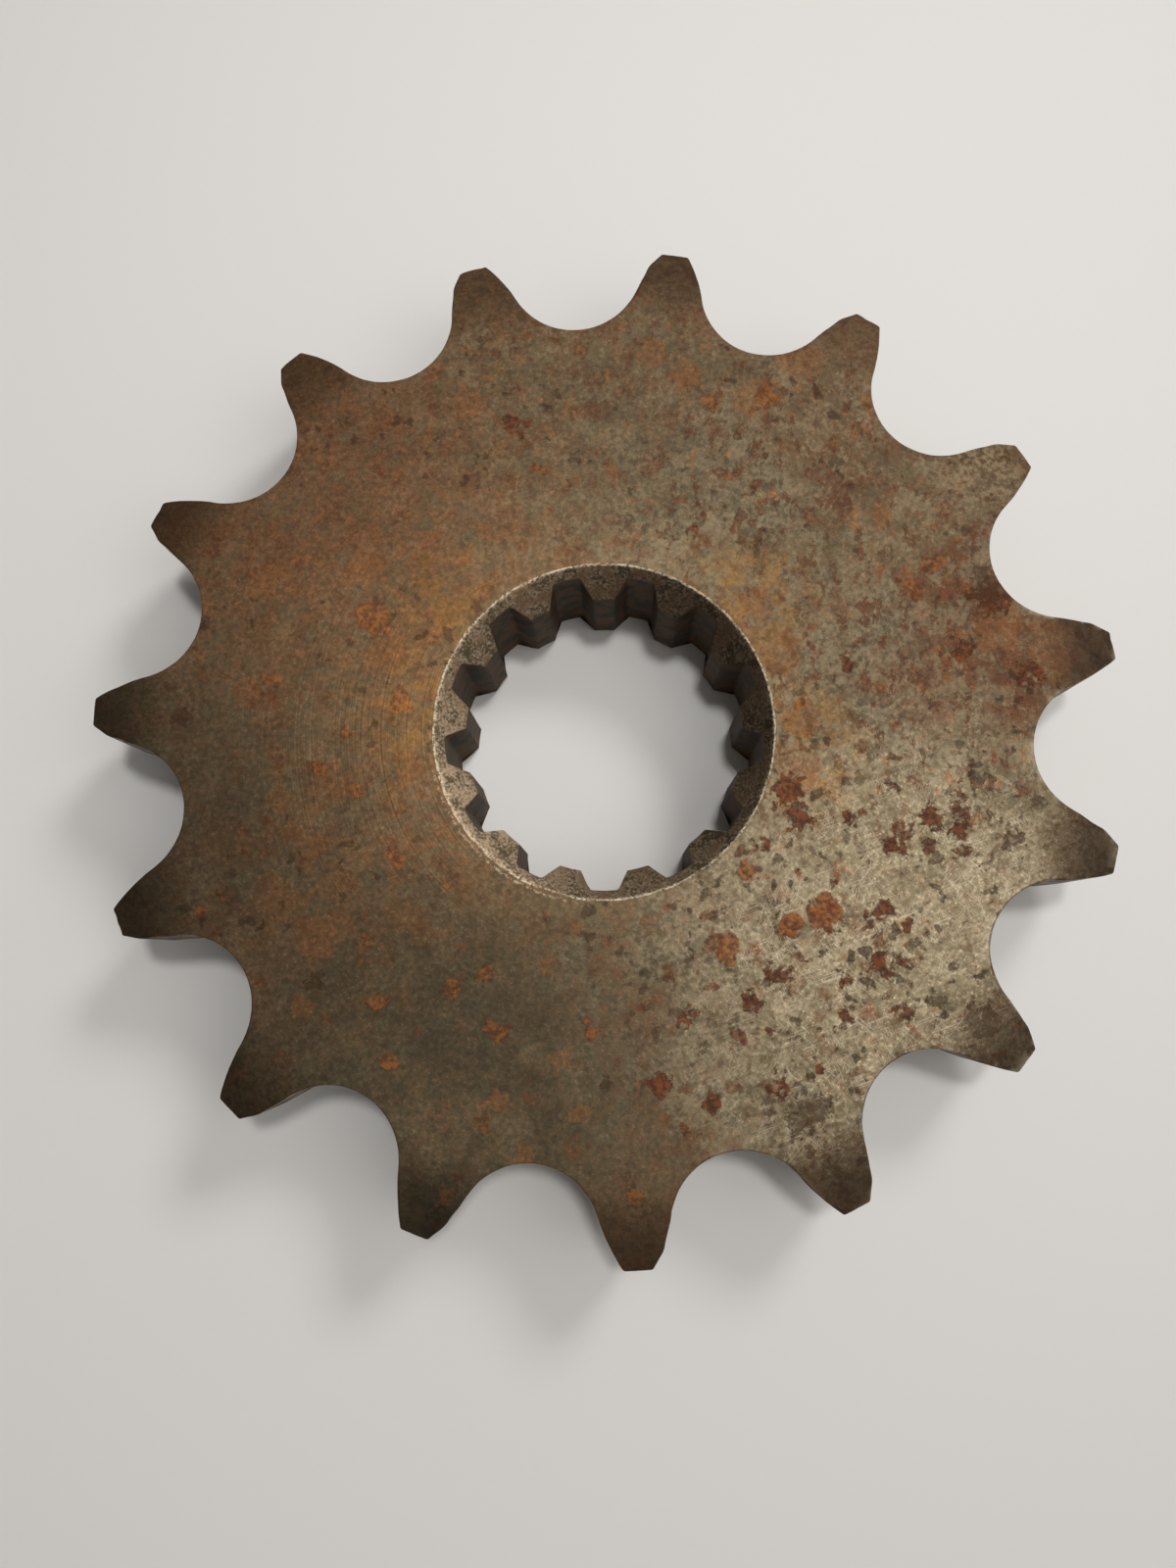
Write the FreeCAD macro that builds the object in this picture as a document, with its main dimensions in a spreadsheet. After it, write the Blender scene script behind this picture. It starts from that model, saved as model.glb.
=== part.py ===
import FreeCAD, Part
import math
import os
import Sketcher

# A front (gearbox output) sprocket for a motorcycle's roller chain. It is one piece of
# steel: a turned disc with a boss on its inner side, fifteen chain teeth cut round the
# rim and thirteen spline teeth broached through the bore.
#
# Frame: +Z is the shaft's axis and points out of the gearbox, the origin is where the
# axis meets the boss's seating face, and one spline tooth points along +Y.

doc = FreeCAD.newDocument("FrontSprocket")

# ---------------------------------------------------------------- driving dimensions
# Millimetres and degrees: a cell's alias, its number and what it measures.
DRIVING = [
    ("chain_pitch", 15.875, "chain pitch, 5/8 inch"),
    ("roller_diameter", 10.16, "diameter of the chain's rollers"),
    ("tooth_count", 15, "chain teeth"),
    ("seat_clearance", 0.32, "seat radius beyond the roller's radius"),
    ("seat_angle", 130, "angle of the arc that seats a roller"),
    ("flank_radius", 15, "convex side of a tooth, above its seats"),
    ("tip_height", 2.43, "tooth tip beyond the pitch circle"),
    ("tooth_direction", 81.5, "direction of one chain tooth, from +X"),
    ("plate_thickness", 8.8, "toothed plate, face to face"),
    ("relief_height", 5.9, "depth of the rim that the side reliefs thin"),
    ("relief_drop", 1.2, "side relief at the tooth tip, on each face"),
    ("relief_radius", 20, "curve of the side relief"),
    ("boss_radius", 20, "boss on the inner side"),
    ("boss_height", 3.2, "boss beyond the plate"),
    ("boss_chamfer", 0.6, "outer edge of the boss"),
    ("spline_count", 13, "spline teeth in the bore"),
    ("spline_minor_radius", 11, "bore at the tops of the spline teeth"),
    ("spline_depth", 1.5, "spline groove beyond the bore"),
    ("spline_direction", 90, "direction of one spline tooth, from +X"),
    ("groove_floor_width", 2.2, "floor of a spline groove"),
    ("groove_flank_angle", 24, "side of a groove, from its centre line"),
    ("mouth_chamfer", 2.18, "countersink at the outer end of the bore"),
    ("lead_chamfer", 0.45, "chamfer at the inner end of the bore"),
    ("cut_margin", 1.2, "how far a cutter's outline runs past the metal"),
]

# Sizes that follow from those above.
DERIVED = [
    ("pitch_radius", "chain_pitch / (2 * sin(180 / tooth_count))"),
    ("root_radius", "pitch_radius - roller_diameter / 2"),
    ("tip_radius", "pitch_radius + tip_height"),
    ("overall_width", "boss_height + plate_thickness"),
    ("boss_face_radius", "boss_radius - boss_chamfer"),
    ("relief_start_radius", "tip_radius - relief_height"),
    ("inner_tip_level", "boss_height + relief_drop"),
    ("outer_tip_level", "overall_width - relief_drop"),
    ("mouth_radius", "spline_minor_radius + mouth_chamfer"),
    ("mouth_floor_level", "overall_width - mouth_chamfer"),
    ("lead_radius", "spline_minor_radius + lead_chamfer"),
    ("seat_radius", "roller_diameter / 2 + seat_clearance"),
    ("seat_centre", "root_radius + seat_radius"),
    ("seat_half_angle", "seat_angle / 2"),
    ("flank_reach", "seat_radius + flank_radius"),
    ("flank_centre_out", "seat_centre - flank_reach * cos(seat_half_angle)"),
    ("flank_centre_side", "flank_reach * sin(seat_half_angle)"),
    ("flank_end_radius", "tip_radius + cut_margin"),
    ("gap_cutter_end", "tip_radius + 2 * cut_margin"),
    ("gap_direction", "tooth_direction + 180 / tooth_count"),
    ("spline_major_radius", "spline_minor_radius + spline_depth"),
    ("groove_half_floor", "groove_floor_width / 2"),
    ("groove_cutter_start", "spline_minor_radius - cut_margin"),
    ("groove_direction", "spline_direction + 180 / spline_count"),
]

sizes = doc.addObject("Spreadsheet::Sheet", "Sizes")
for row, (alias, number, meaning) in enumerate(DRIVING, start=1):
    sizes.set(f"A{row}", str(number))
    sizes.set(f"B{row}", meaning)
    sizes.setAlias(f"A{row}", alias)
for row, (alias, formula) in enumerate(DERIVED, start=len(DRIVING) + 2):
    sizes.set(f"A{row}", "=" + formula)
    sizes.setAlias(f"A{row}", alias)
doc.recompute()


def size(alias):
    """The number in a cell of the sheet."""
    return float(sizes.get(alias))


# ------------------------------------------------------------------- sketching helpers
# A sketch names a point by its geometry's index and one of these places on it.
START, END, CENTRE = 1, 2, 3
ORIGIN = (-1, 1)
X_AXIS = -1


def point(x, y):
    return FreeCAD.Vector(x, y, 0)


def polar(centre, radius, degrees):
    """The point at a distance and a direction from a centre."""
    angle = math.radians(degrees)
    return centre + point(radius * math.cos(angle), radius * math.sin(angle))


def arc(centre, radius, first, last):
    """An anticlockwise arc between two directions in degrees."""
    circle = Part.Circle(centre, point(0, 0) + FreeCAD.Vector(0, 0, 1), radius)
    return Part.ArcOfCircle(circle, math.radians(first), math.radians(last))


def new_sketch(body, name, plane, direction=None):
    """A sketch on one of the body's origin planes, turned about its normal by a cell."""
    sketch = body.newObject("Sketcher::SketchObject", name)
    planes = [item for item in body.Origin.OriginFeatures if item.Role == plane]
    sketch.AttachmentSupport = [(planes[0], "")]
    sketch.MapMode = "FlatFace"
    if direction:
        sketch.AttachmentOffset = FreeCAD.Placement(point(0, 0), FreeCAD.Rotation(size(direction), 0, 0))
        sketch.setExpression("AttachmentOffset.Rotation.Angle", f"Sizes.{direction}")
    return sketch


def relate(sketch, kind, *where):
    sketch.addConstraint(Sketcher.Constraint(kind, *where))


def dimension(sketch, kind, alias, *where):
    """A dimension that takes its value from a cell of the sheet."""
    index = sketch.addConstraint(Sketcher.Constraint(kind, *where, size(alias)))
    sketch.setExpression(f"Constraints[{index}]", f"Sizes.{alias}")


def close_loop(sketch, edges):
    """Join each edge's end to the next edge's start."""
    for edge, following in zip(edges, edges[1:] + edges[:1]):
        relate(sketch, "Coincident", edge, END, following, START)


def pocket_all_round(body, sketch, name, count):
    """Cut a sketch right through the body and repeat the cut evenly about the axis."""
    if sketch.solve() != 0:
        raise RuntimeError(f"{sketch.Label} isn't solved")
    before = body.Shape.Volume
    cut = body.newObject("PartDesign::Pocket", name)
    cut.Profile = sketch
    cut.Type = "ThroughAll"
    cut.Midplane = True
    doc.recompute()
    one_cut = before - body.Shape.Volume
    pattern = body.newObject("PartDesign::PolarPattern", name + "s")
    pattern.Originals = [cut]
    pattern.Axis = (sketch, ["N_Axis"])
    pattern.Angle = 360
    pattern.setExpression("Occurrences", f"Sizes.{count}")
    body.Tip = pattern
    doc.recompute()
    all_cuts = before - body.Shape.Volume
    if one_cut <= 0 or abs(all_cuts / one_cut - size(count)) > 0.01:
        raise RuntimeError(f"{name} removed {all_cuts:.1f} mm3 in cuts of {one_cut:.1f}")
    print(f"{name}: {size(count):.0f} cuts of {one_cut:.1f} mm3")


sprocket = doc.addObject("PartDesign::Body", "Sprocket")
sprocket.Label = "sprocket"

# ------------------------------------------------------------------------ turned blank
# Half of the disc's section, x out from the axis and y along it, corner by corner round
# the metal. None is the plane of the boss's face. The reliefs are arcs that bulge
# outwards, from a corner where the flat face ends to the edge of the tooth tip.
CORNERS = [
    ("lead_radius", None),
    ("boss_face_radius", None),
    ("boss_radius", "boss_chamfer"),
    ("boss_radius", "boss_height"),
    ("relief_start_radius", "boss_height"),
    ("tip_radius", "inner_tip_level"),
    ("tip_radius", "outer_tip_level"),
    ("relief_start_radius", "overall_width"),
    ("mouth_radius", "overall_width"),
    ("spline_minor_radius", "mouth_floor_level"),
    ("spline_minor_radius", "lead_chamfer"),
]
RELIEFS = (4, 6)


def relief(first, last, radius):
    """The shallow anticlockwise arc between two corners of the section."""
    chord = last - first
    to_centre = point(-chord.y, chord.x).normalize()
    depth = math.sqrt(radius ** 2 - (chord.Length / 2) ** 2)
    middle = first + chord / 2 - to_centre * (radius - depth)
    return Part.Arc(first, middle, last)


section = new_sketch(sprocket, "BlankSection", "XZ_Plane")
corners = [point(size(x), size(y) if y else 0) for x, y in CORNERS]
for index, first in enumerate(corners):
    last = corners[(index + 1) % len(corners)]
    if index in RELIEFS:
        section.addGeometry(relief(first, last, size("relief_radius")))
    else:
        section.addGeometry(Part.LineSegment(first, last))
close_loop(section, list(range(len(corners))))
for index, (x, y) in enumerate(CORNERS):
    dimension(section, "DistanceX", x, *ORIGIN, index, START)
    if y:
        dimension(section, "DistanceY", y, *ORIGIN, index, START)
    else:
        relate(section, "PointOnObject", index, START, X_AXIS)
for index in RELIEFS:
    dimension(section, "Radius", "relief_radius", index)

blank = sprocket.newObject("PartDesign::Revolution", "Blank")
blank.Profile = section
blank.ReferenceAxis = (section, ["V_Axis"])
blank.Angle = 360
doc.recompute()
print(f"Blank: {sprocket.Shape.Volume:.1f} mm3")

# -------------------------------------------------------------------- gaps between teeth
# One gap, with its centre line along the sketch's x: the roller's seat, a convex flank
# on each side that leaves the seat smoothly, and three lines that close it outside.
gap = new_sketch(sprocket, "ToothGapOutline", "XY_Plane", "gap_direction")
half = size("seat_half_angle")
seat_centre = point(size("seat_centre"), 0)
upper_centre = point(size("flank_centre_out"), size("flank_centre_side"))
lower_centre = point(size("flank_centre_out"), -size("flank_centre_side"))

# How far a flank turns before it is past the tip: the angle between the directions, from
# the flank's centre, of its two ends.
reach = upper_centre.Length
turn = (size("flank_end_radius") ** 2 - reach ** 2 - size("flank_radius") ** 2)
turn = math.acos(turn / (2 * reach * size("flank_radius")))
flank_end = math.degrees(math.atan2(upper_centre.y, upper_centre.x) - turn)

upper_end = polar(upper_centre, size("flank_radius"), flank_end)
lower_end = point(upper_end.x, -upper_end.y)
upper_corner = point(size("gap_cutter_end"), upper_end.y)
lower_corner = point(size("gap_cutter_end"), lower_end.y)

SEAT, UPPER_FLANK, UPPER_SIDE, OUTSIDE, LOWER_SIDE, LOWER_FLANK, END_CIRCLE = range(7)
gap.addGeometry(arc(seat_centre, size("seat_radius"), 180 - half, 180 + half))
gap.addGeometry(arc(upper_centre, size("flank_radius"), -half, flank_end))
gap.addGeometry(Part.LineSegment(upper_end, upper_corner))
gap.addGeometry(Part.LineSegment(upper_corner, lower_corner))
gap.addGeometry(Part.LineSegment(lower_corner, lower_end))
gap.addGeometry(arc(lower_centre, size("flank_radius"), -flank_end, half))
circle = Part.Circle(point(0, 0), FreeCAD.Vector(0, 0, 1), size("flank_end_radius"))
gap.addGeometry(circle, True)

relate(gap, "Tangent", SEAT, START, UPPER_FLANK, START)
relate(gap, "Tangent", LOWER_FLANK, END, SEAT, END)
relate(gap, "Coincident", UPPER_FLANK, END, UPPER_SIDE, START)
relate(gap, "Coincident", UPPER_SIDE, END, OUTSIDE, START)
relate(gap, "Coincident", OUTSIDE, END, LOWER_SIDE, START)
relate(gap, "Coincident", LOWER_SIDE, END, LOWER_FLANK, START)
relate(gap, "Horizontal", UPPER_SIDE)
relate(gap, "Vertical", OUTSIDE)
relate(gap, "Horizontal", LOWER_SIDE)
relate(gap, "PointOnObject", SEAT, CENTRE, X_AXIS)
relate(gap, "Coincident", END_CIRCLE, CENTRE, *ORIGIN)
relate(gap, "PointOnObject", UPPER_FLANK, END, END_CIRCLE)
relate(gap, "PointOnObject", LOWER_FLANK, START, END_CIRCLE)
relate(gap, "Symmetric", UPPER_FLANK, CENTRE, LOWER_FLANK, CENTRE, X_AXIS)
dimension(gap, "DistanceX", "seat_centre", *ORIGIN, SEAT, CENTRE)
dimension(gap, "Radius", "seat_radius", SEAT)
dimension(gap, "Radius", "flank_radius", UPPER_FLANK)
dimension(gap, "DistanceX", "flank_centre_out", *ORIGIN, UPPER_FLANK, CENTRE)
dimension(gap, "Radius", "flank_end_radius", END_CIRCLE)
dimension(gap, "DistanceX", "gap_cutter_end", *ORIGIN, UPPER_SIDE, END)
pocket_all_round(sprocket, gap, "ToothGap", "tooth_count")

# ------------------------------------------------------------------------ spline grooves
# One groove, with its centre line along the sketch's x: a floor on the major circle and
# two straight sides that run in past the bore.
groove = new_sketch(sprocket, "SplineGrooveOutline", "XY_Plane", "groove_direction")
major = size("spline_major_radius")
floor_half_angle = math.degrees(math.asin(size("groove_half_floor") / major))
upper_floor = polar(point(0, 0), major, floor_half_angle)
lower_floor = polar(point(0, 0), major, -floor_half_angle)
start_x = size("groove_cutter_start")
widening = (upper_floor.x - start_x) * math.tan(math.radians(size("groove_flank_angle")))
upper_start = point(start_x, upper_floor.y + widening)
lower_start = point(start_x, -upper_floor.y - widening)

FLOOR, UPPER_WALL, INSIDE, LOWER_WALL = range(4)
groove.addGeometry(arc(point(0, 0), major, -floor_half_angle, floor_half_angle))
groove.addGeometry(Part.LineSegment(upper_floor, upper_start))
groove.addGeometry(Part.LineSegment(upper_start, lower_start))
groove.addGeometry(Part.LineSegment(lower_start, lower_floor))
close_loop(groove, [FLOOR, UPPER_WALL, INSIDE, LOWER_WALL])
relate(groove, "Coincident", FLOOR, CENTRE, *ORIGIN)
relate(groove, "Symmetric", FLOOR, START, FLOOR, END, X_AXIS)
relate(groove, "Symmetric", INSIDE, START, INSIDE, END, X_AXIS)
dimension(groove, "Radius", "spline_major_radius", FLOOR)
dimension(groove, "DistanceY", "groove_half_floor", *ORIGIN, FLOOR, END)
dimension(groove, "DistanceX", "groove_cutter_start", *ORIGIN, INSIDE, START)
slope = groove.addConstraint(
    Sketcher.Constraint("Angle", UPPER_WALL, math.radians(180 - size("groove_flank_angle")))
)
groove.setExpression(f"Constraints[{slope}]", "(180 - Sizes.groove_flank_angle) * 1 deg")
pocket_all_round(sprocket, groove, "SplineGroove", "spline_count")

# --------------------------------------------------------------------- checks and export
doc.recompute()
for item in doc.Objects:
    if "Invalid" in item.State or "Error" in item.State:
        raise RuntimeError(f"{item.Label} is {item.State}")

os.makedirs("parts", exist_ok=True)
for body in (sprocket,):
    shape = body.Shape
    if shape.isNull() or not shape.isValid() or len(shape.Solids) != 1:
        raise RuntimeError(f"{body.Label} isn't one valid solid")
    box = shape.optimalBoundingBox()
    print(f"{body.Label}: {box.XLength:.2f} x {box.YLength:.2f} x {box.ZLength:.2f} mm,"
          f" {shape.Volume:.0f} mm3, {len(shape.Faces)} faces")
    shape.exportStep(f"parts/{body.Label}.step")
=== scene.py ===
# %% [markdown]
# # A worn front sprocket
#
# This file is a lesson in making one piece of used machinery look real. The piece is the
# small sprocket from a motorcycle's gearbox: a steel disc with fifteen chain teeth round
# its rim and thirteen splines in its bore. It is one solid piece, so all of the interest
# is in its edges and in its skin: turning marks, brown patina, rust spots, scratches,
# and the bright ring where the lock washer has rubbed.
#
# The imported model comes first. It is the frame that everything else is measured from, so
# nothing below has to be fitted by eye.

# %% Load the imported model
import functools
import math
import bpy
import numpy as np
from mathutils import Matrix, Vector


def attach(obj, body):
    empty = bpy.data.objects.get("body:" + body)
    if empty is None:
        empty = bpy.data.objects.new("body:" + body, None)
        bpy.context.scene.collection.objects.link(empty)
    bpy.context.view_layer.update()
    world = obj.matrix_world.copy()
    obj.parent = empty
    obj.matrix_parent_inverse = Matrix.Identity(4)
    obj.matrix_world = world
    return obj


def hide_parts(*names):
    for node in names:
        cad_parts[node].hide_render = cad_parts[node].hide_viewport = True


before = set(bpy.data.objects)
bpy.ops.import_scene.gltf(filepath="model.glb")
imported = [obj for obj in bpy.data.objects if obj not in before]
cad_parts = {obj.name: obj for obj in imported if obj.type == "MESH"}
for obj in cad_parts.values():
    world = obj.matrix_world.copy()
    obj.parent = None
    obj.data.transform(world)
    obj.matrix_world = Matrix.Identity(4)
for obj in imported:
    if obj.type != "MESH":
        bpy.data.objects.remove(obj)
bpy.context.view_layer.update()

MM = 0.001

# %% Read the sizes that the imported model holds
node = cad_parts["sprocket"]
corners = np.zeros(len(node.data.vertices) * 3)
node.data.vertices.foreach_get("co", corners)
corners = corners.reshape(-1, 3) / MM
reach = np.hypot(corners[:, 0], corners[:, 1])

TIP_RADIUS = float(reach.max())
BORE_RADIUS = float(reach.min())
FACE = float(corners[:, 2].max())
print(f"tip radius {TIP_RADIUS:.2f}, bore radius {BORE_RADIUS:.2f}, face at {FACE:.2f} mm")

# %% [markdown]
# ## The outline of the teeth
#
# A roller-chain tooth gap is three arcs: a seat a little larger than the roller, and a
# convex flank on each side that leaves the seat smoothly. The sizes are the maker's own,
# in millimetres, and the same as in the solid model. The outline is worked out as points
# along those arcs rather than taken from the model's triangles, because even, ordered
# points can carry wear: a rounded corner here, a nick there.

# %% Sizes in millimetres
TOOTH_COUNT = 15
TOOTH_DIRECTION = 81.5
ROOT_RADIUS = 33.1
SEAT_RADIUS = 5.4
SEAT_HALF_ANGLE = 65.0
FLANK_RADIUS = 15.0

SPLINE_COUNT = 13
SPLINE_DIRECTION = 90.0
SPLINE_DEPTH = 1.5
GROOVE_HALF_FLOOR = 1.1
GROOVE_FLANK_ANGLE = 24.0

BOSS_RADIUS = 20.0
BOSS_HEIGHT = 3.2
BOSS_CHAMFER = 0.6
RELIEF_HEIGHT = 5.9
RELIEF_DROP = 1.2
RELIEF_RADIUS = 20.0
MOUTH_CHAMFER = 2.18
LEAD_CHAMFER = 0.45

rng = np.random.default_rng(15)


# %% Small helpers for points in a plane
def polar(radius, degrees):
    """A point, or a row of points, at a radius and a direction."""
    angle = np.radians(degrees)
    return np.stack([radius * np.cos(angle), radius * np.sin(angle)], axis=-1)


def turned(points, degrees):
    """Points turned about the axis."""
    cos, sin = math.cos(math.radians(degrees)), math.sin(math.radians(degrees))
    return points @ np.array([[cos, sin], [-sin, cos]])


def rounded_corner(before, corner, after, size, steps):
    """Points that cut a corner in a smooth curve, starting and ending `size` from it."""
    start = corner + (before - corner) / np.linalg.norm(before - corner) * size
    end = corner + (after - corner) / np.linalg.norm(after - corner) * size
    t = np.linspace(0, 1, steps + 1)[:, None]
    return (1 - t) ** 2 * start + 2 * t * (1 - t) * corner + t ** 2 * end


def mirrored(points):
    """The same half outline on the other side of its centre line, in reverse order."""
    return points[::-1] * np.array([1, -1])


# %% Half a tooth, from the bottom of a gap to the middle of the tip
TIP_CORNER = 0.16


def half_tooth():
    """Points below the tooth's centre line, which lies along x."""
    gap_angle = -180 / TOOTH_COUNT
    seat_centre = ROOT_RADIUS + SEAT_RADIUS
    seat = polar(SEAT_RADIUS, np.linspace(180, 180 - SEAT_HALF_ANGLE, 14)) + [seat_centre, 0]

    flank_centre = polar(-SEAT_RADIUS - FLANK_RADIUS, -SEAT_HALF_ANGLE) + [seat_centre, 0]
    distance = float(np.linalg.norm(flank_centre))
    bend = (TIP_RADIUS ** 2 - distance ** 2 - FLANK_RADIUS ** 2) / (2 * distance * FLANK_RADIUS)
    last = math.degrees(math.atan2(flank_centre[1], flank_centre[0]) - math.acos(bend))
    flank = polar(FLANK_RADIUS, np.linspace(-SEAT_HALF_ANGLE, last, 16)) + flank_centre

    seat, flank = turned(seat, gap_angle), turned(flank, gap_angle)
    corner_angle = math.degrees(math.atan2(flank[-1][1], flank[-1][0]))
    tip = polar(TIP_RADIUS, np.linspace(corner_angle, 0, 10))
    corner = rounded_corner(flank[-2], flank[-1], tip[1], TIP_CORNER, 3)
    return np.concatenate([seat[:-1], flank[:-1], corner, tip[2:]])


half = half_tooth()
tooth = np.concatenate([half, mirrored(half)[1:-1]])
print("points round one tooth", len(tooth))

# %% [markdown]
# Chain teeth don't wear evenly. The side that the chain pulls on loses its bulge first,
# so each tooth here keeps a slight shoulder near its tip on one side and has lost it on
# the other. The whole outline also wanders by a few hundredths of a millimetre, and a
# handful of nicks show where tools and stones have hit it.

# %% All the teeth, with their wear
POINTS = TOOTH_COUNT * len(tooth)
around = np.arange(POINTS) * 2 * math.pi / POINTS

SHOULDER_RADIUS, SHOULDER_LENGTH, SHOULDER_PROUD = 39.2, 0.6, 0.12
HOLLOW_RADIUS, HOLLOW_LENGTH, HOLLOW_PROUD = 38.8, 1.6, 0.05


def wander(cycles, count=24):
    """A smooth random ripple round the rim, near -1 to 1, with up to `cycles` waves."""
    waves = rng.integers(1, cycles, count)
    phases = rng.uniform(0, 2 * math.pi, count)
    ripple = np.sin(np.outer(around, waves) + phases).sum(axis=1)
    return ripple / math.sqrt(count / 2) / 2


def worn_tooth(points):
    """One tooth with a shoulder left on one side and a hollow worn in the other."""
    radius = np.hypot(points[:, 0], points[:, 1])
    shoulder = SHOULDER_PROUD * np.exp(-((radius - SHOULDER_RADIUS) / SHOULDER_LENGTH) ** 2)
    hollow = HOLLOW_PROUD * np.exp(-((radius - HOLLOW_RADIUS) / HOLLOW_LENGTH) ** 2)
    moved = points.copy()
    moved[:, 1] += np.where(points[:, 1] > 0, shoulder, hollow)
    return moved


def outward_normals(outline):
    """Each point's direction out of a closed anticlockwise outline."""
    along = np.roll(outline, -1, axis=0) - np.roll(outline, 1, axis=0)
    normal = np.stack([along[:, 1], -along[:, 0]], axis=1)
    return normal / np.linalg.norm(normal, axis=1)[:, None]


rim = np.concatenate([
    turned(worn_tooth(tooth), TOOTH_DIRECTION + k * 360 / TOOTH_COUNT)
    for k in range(TOOTH_COUNT)
])
rim_normal = outward_normals(rim)
on_tip = np.hypot(rim[:, 0], rim[:, 1]) > TIP_RADIUS - 0.3
rim_ripple = 0.012 * wander(40) + 0.008 * wander(300, 60)
rim += rim_normal * np.where(on_tip, np.minimum(rim_ripple, 0), rim_ripple)[:, None]
limit = TIP_RADIUS / np.maximum(np.hypot(rim[:, 0], rim[:, 1]), TIP_RADIUS)
rim *= limit[:, None]
print("rim points", len(rim), "widest", round(float(np.hypot(rim[:, 0], rim[:, 1]).max()), 3))

# %% [markdown]
# ## The outline of the splines
#
# The bore's splines are cut by a broach, a long bar with rows of teeth that is pulled
# through. Their tops are what is left of the round bore, and their sides are almost
# straight. The broach's own corners are slightly rounded, so the grooves' are too.

# %% One spline tooth, and all of them
SPLINE_TOP_CORNER = 0.08
SPLINE_FOOT_CORNER = 0.2


def half_spline():
    """Points from the middle of a spline tooth, along x, to the middle of a groove."""
    floor_radius = BORE_RADIUS + SPLINE_DEPTH
    groove_angle = 180 / SPLINE_COUNT
    slope = math.tan(math.radians(GROOVE_FLANK_ANGLE))
    low = np.array([math.sqrt(floor_radius ** 2 - GROOVE_HALF_FLOOR ** 2), -GROOVE_HALF_FLOOR])
    a, b = 1 + slope ** 2, -2 * slope * (GROOVE_HALF_FLOOR + slope * low[0])
    c = (GROOVE_HALF_FLOOR + slope * low[0]) ** 2 - BORE_RADIUS ** 2
    top_x = (-b + math.sqrt(b ** 2 - 4 * a * c)) / (2 * a)
    top = np.array([top_x, -GROOVE_HALF_FLOOR - slope * (low[0] - top_x)])
    top, low = turned(np.stack([top, low]), groove_angle)
    top_angle = math.degrees(math.atan2(top[1], top[0]))
    low_angle = math.degrees(math.atan2(low[1], low[0]))
    land = polar(BORE_RADIUS, np.linspace(0, top_angle, 12))
    floor = polar(floor_radius, np.linspace(low_angle, groove_angle, 12))
    side = top + (low - top) * np.linspace(0.12, 0.82, 15)[:, None]
    upper = rounded_corner(land[-2], top, low, SPLINE_TOP_CORNER, 4)
    lower = rounded_corner(top, low, floor[2], SPLINE_FOOT_CORNER, 4)
    return np.concatenate([land[:-1], upper, side, lower, floor[2:]])


half = half_spline()
spline = np.concatenate([mirrored(half)[:-1], half[:-1]])
bore = np.concatenate([
    turned(spline, SPLINE_DIRECTION + k * 360 / SPLINE_COUNT) for k in range(SPLINE_COUNT)
])
print("points round one spline", len(spline), "in the bore", len(bore), "of", POINTS)

# %% [markdown]
# ## From outlines to a skin
#
# The sprocket's skin can be one closed grid. Going round it one way follows the rim and
# the bore. Going the other way runs in across the outer face, down the bore, out across
# the inner face and boss, and up the rim. Each row of the grid is a ring of points.
# Rows sit close together where the metal bends, at the edges, and far apart where it is
# flat, so a modest number of faces still gives real rounded edges to catch the light.

# %% Pair each rim point with a bore point and a direction
start_angle = TOOTH_DIRECTION - 180 / TOOTH_COUNT
directions = start_angle + np.degrees(around)
bore_start = SPLINE_DIRECTION - 180 / SPLINE_COUNT
shift = round((bore_start - start_angle) / 360 * POINTS)
bore = np.roll(bore, shift, axis=0)
bore_reach = np.hypot(bore[:, 0], bore[:, 1])
rim_reach = np.hypot(rim[:, 0], rim[:, 1])


# %% How far the side relief drops the face towards a tooth's tip
def relief_drop(radius):
    """A shallow arc from the flat face to the tip, as a drop in millimetres."""
    start = np.array([TIP_RADIUS - RELIEF_HEIGHT, 0.0])
    end = np.array([TIP_RADIUS, -RELIEF_DROP])
    chord = end - start
    length = np.linalg.norm(chord)
    inward = np.array([chord[1], -chord[0]]) / length
    centre = (start + end) / 2 + inward * math.sqrt(RELIEF_RADIUS ** 2 - (length / 2) ** 2)
    height = np.sqrt(np.maximum(RELIEF_RADIUS ** 2 - (radius - centre[0]) ** 2, 0)) + centre[1]
    return np.where(radius > start[0], np.maximum(-height, 0), 0.0)


print("relief at the tip", round(float(relief_drop(np.array(TIP_RADIUS))), 3), "mm")

# %% How worn the sharp edge round the outer face is
def smoothed(values, passes):
    """Values round the rim, each softened by its neighbours."""
    for _ in range(passes):
        values = (np.roll(values, 1, axis=0) + 2 * values + np.roll(values, -1, axis=0)) / 4
    return values


SHARPEST, ROUNDEST = 0.05, 0.26
NICKS = 40
edge = 0.09 + 0.02 * wander(60) + 0.025 * np.abs(wander(400, 80))
for place in rng.choice(POINTS, NICKS, replace=False):
    away = np.abs(np.angle(np.exp(1j * (around - around[place])))) * rim_reach[place]
    edge += rng.uniform(0.05, 0.2) * np.exp(-(away / rng.uniform(0.25, 0.7)) ** 2)
edge = smoothed(np.clip(edge, SHARPEST, ROUNDEST), 3)
inset_direction = smoothed(rim_normal, 8)
inset_direction /= np.linalg.norm(inset_direction, axis=1)[:, None]
print("edge radius", round(float(edge.min()), 3), "to", round(float(edge.max()), 3), "mm")

# %% Collect rings of points, each with the finish of the strip that follows it
FACE_FINISH, BORE_FINISH, RIM_FINISH = 0, 1, 2
rings, finishes, wear = [], [], []


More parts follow.
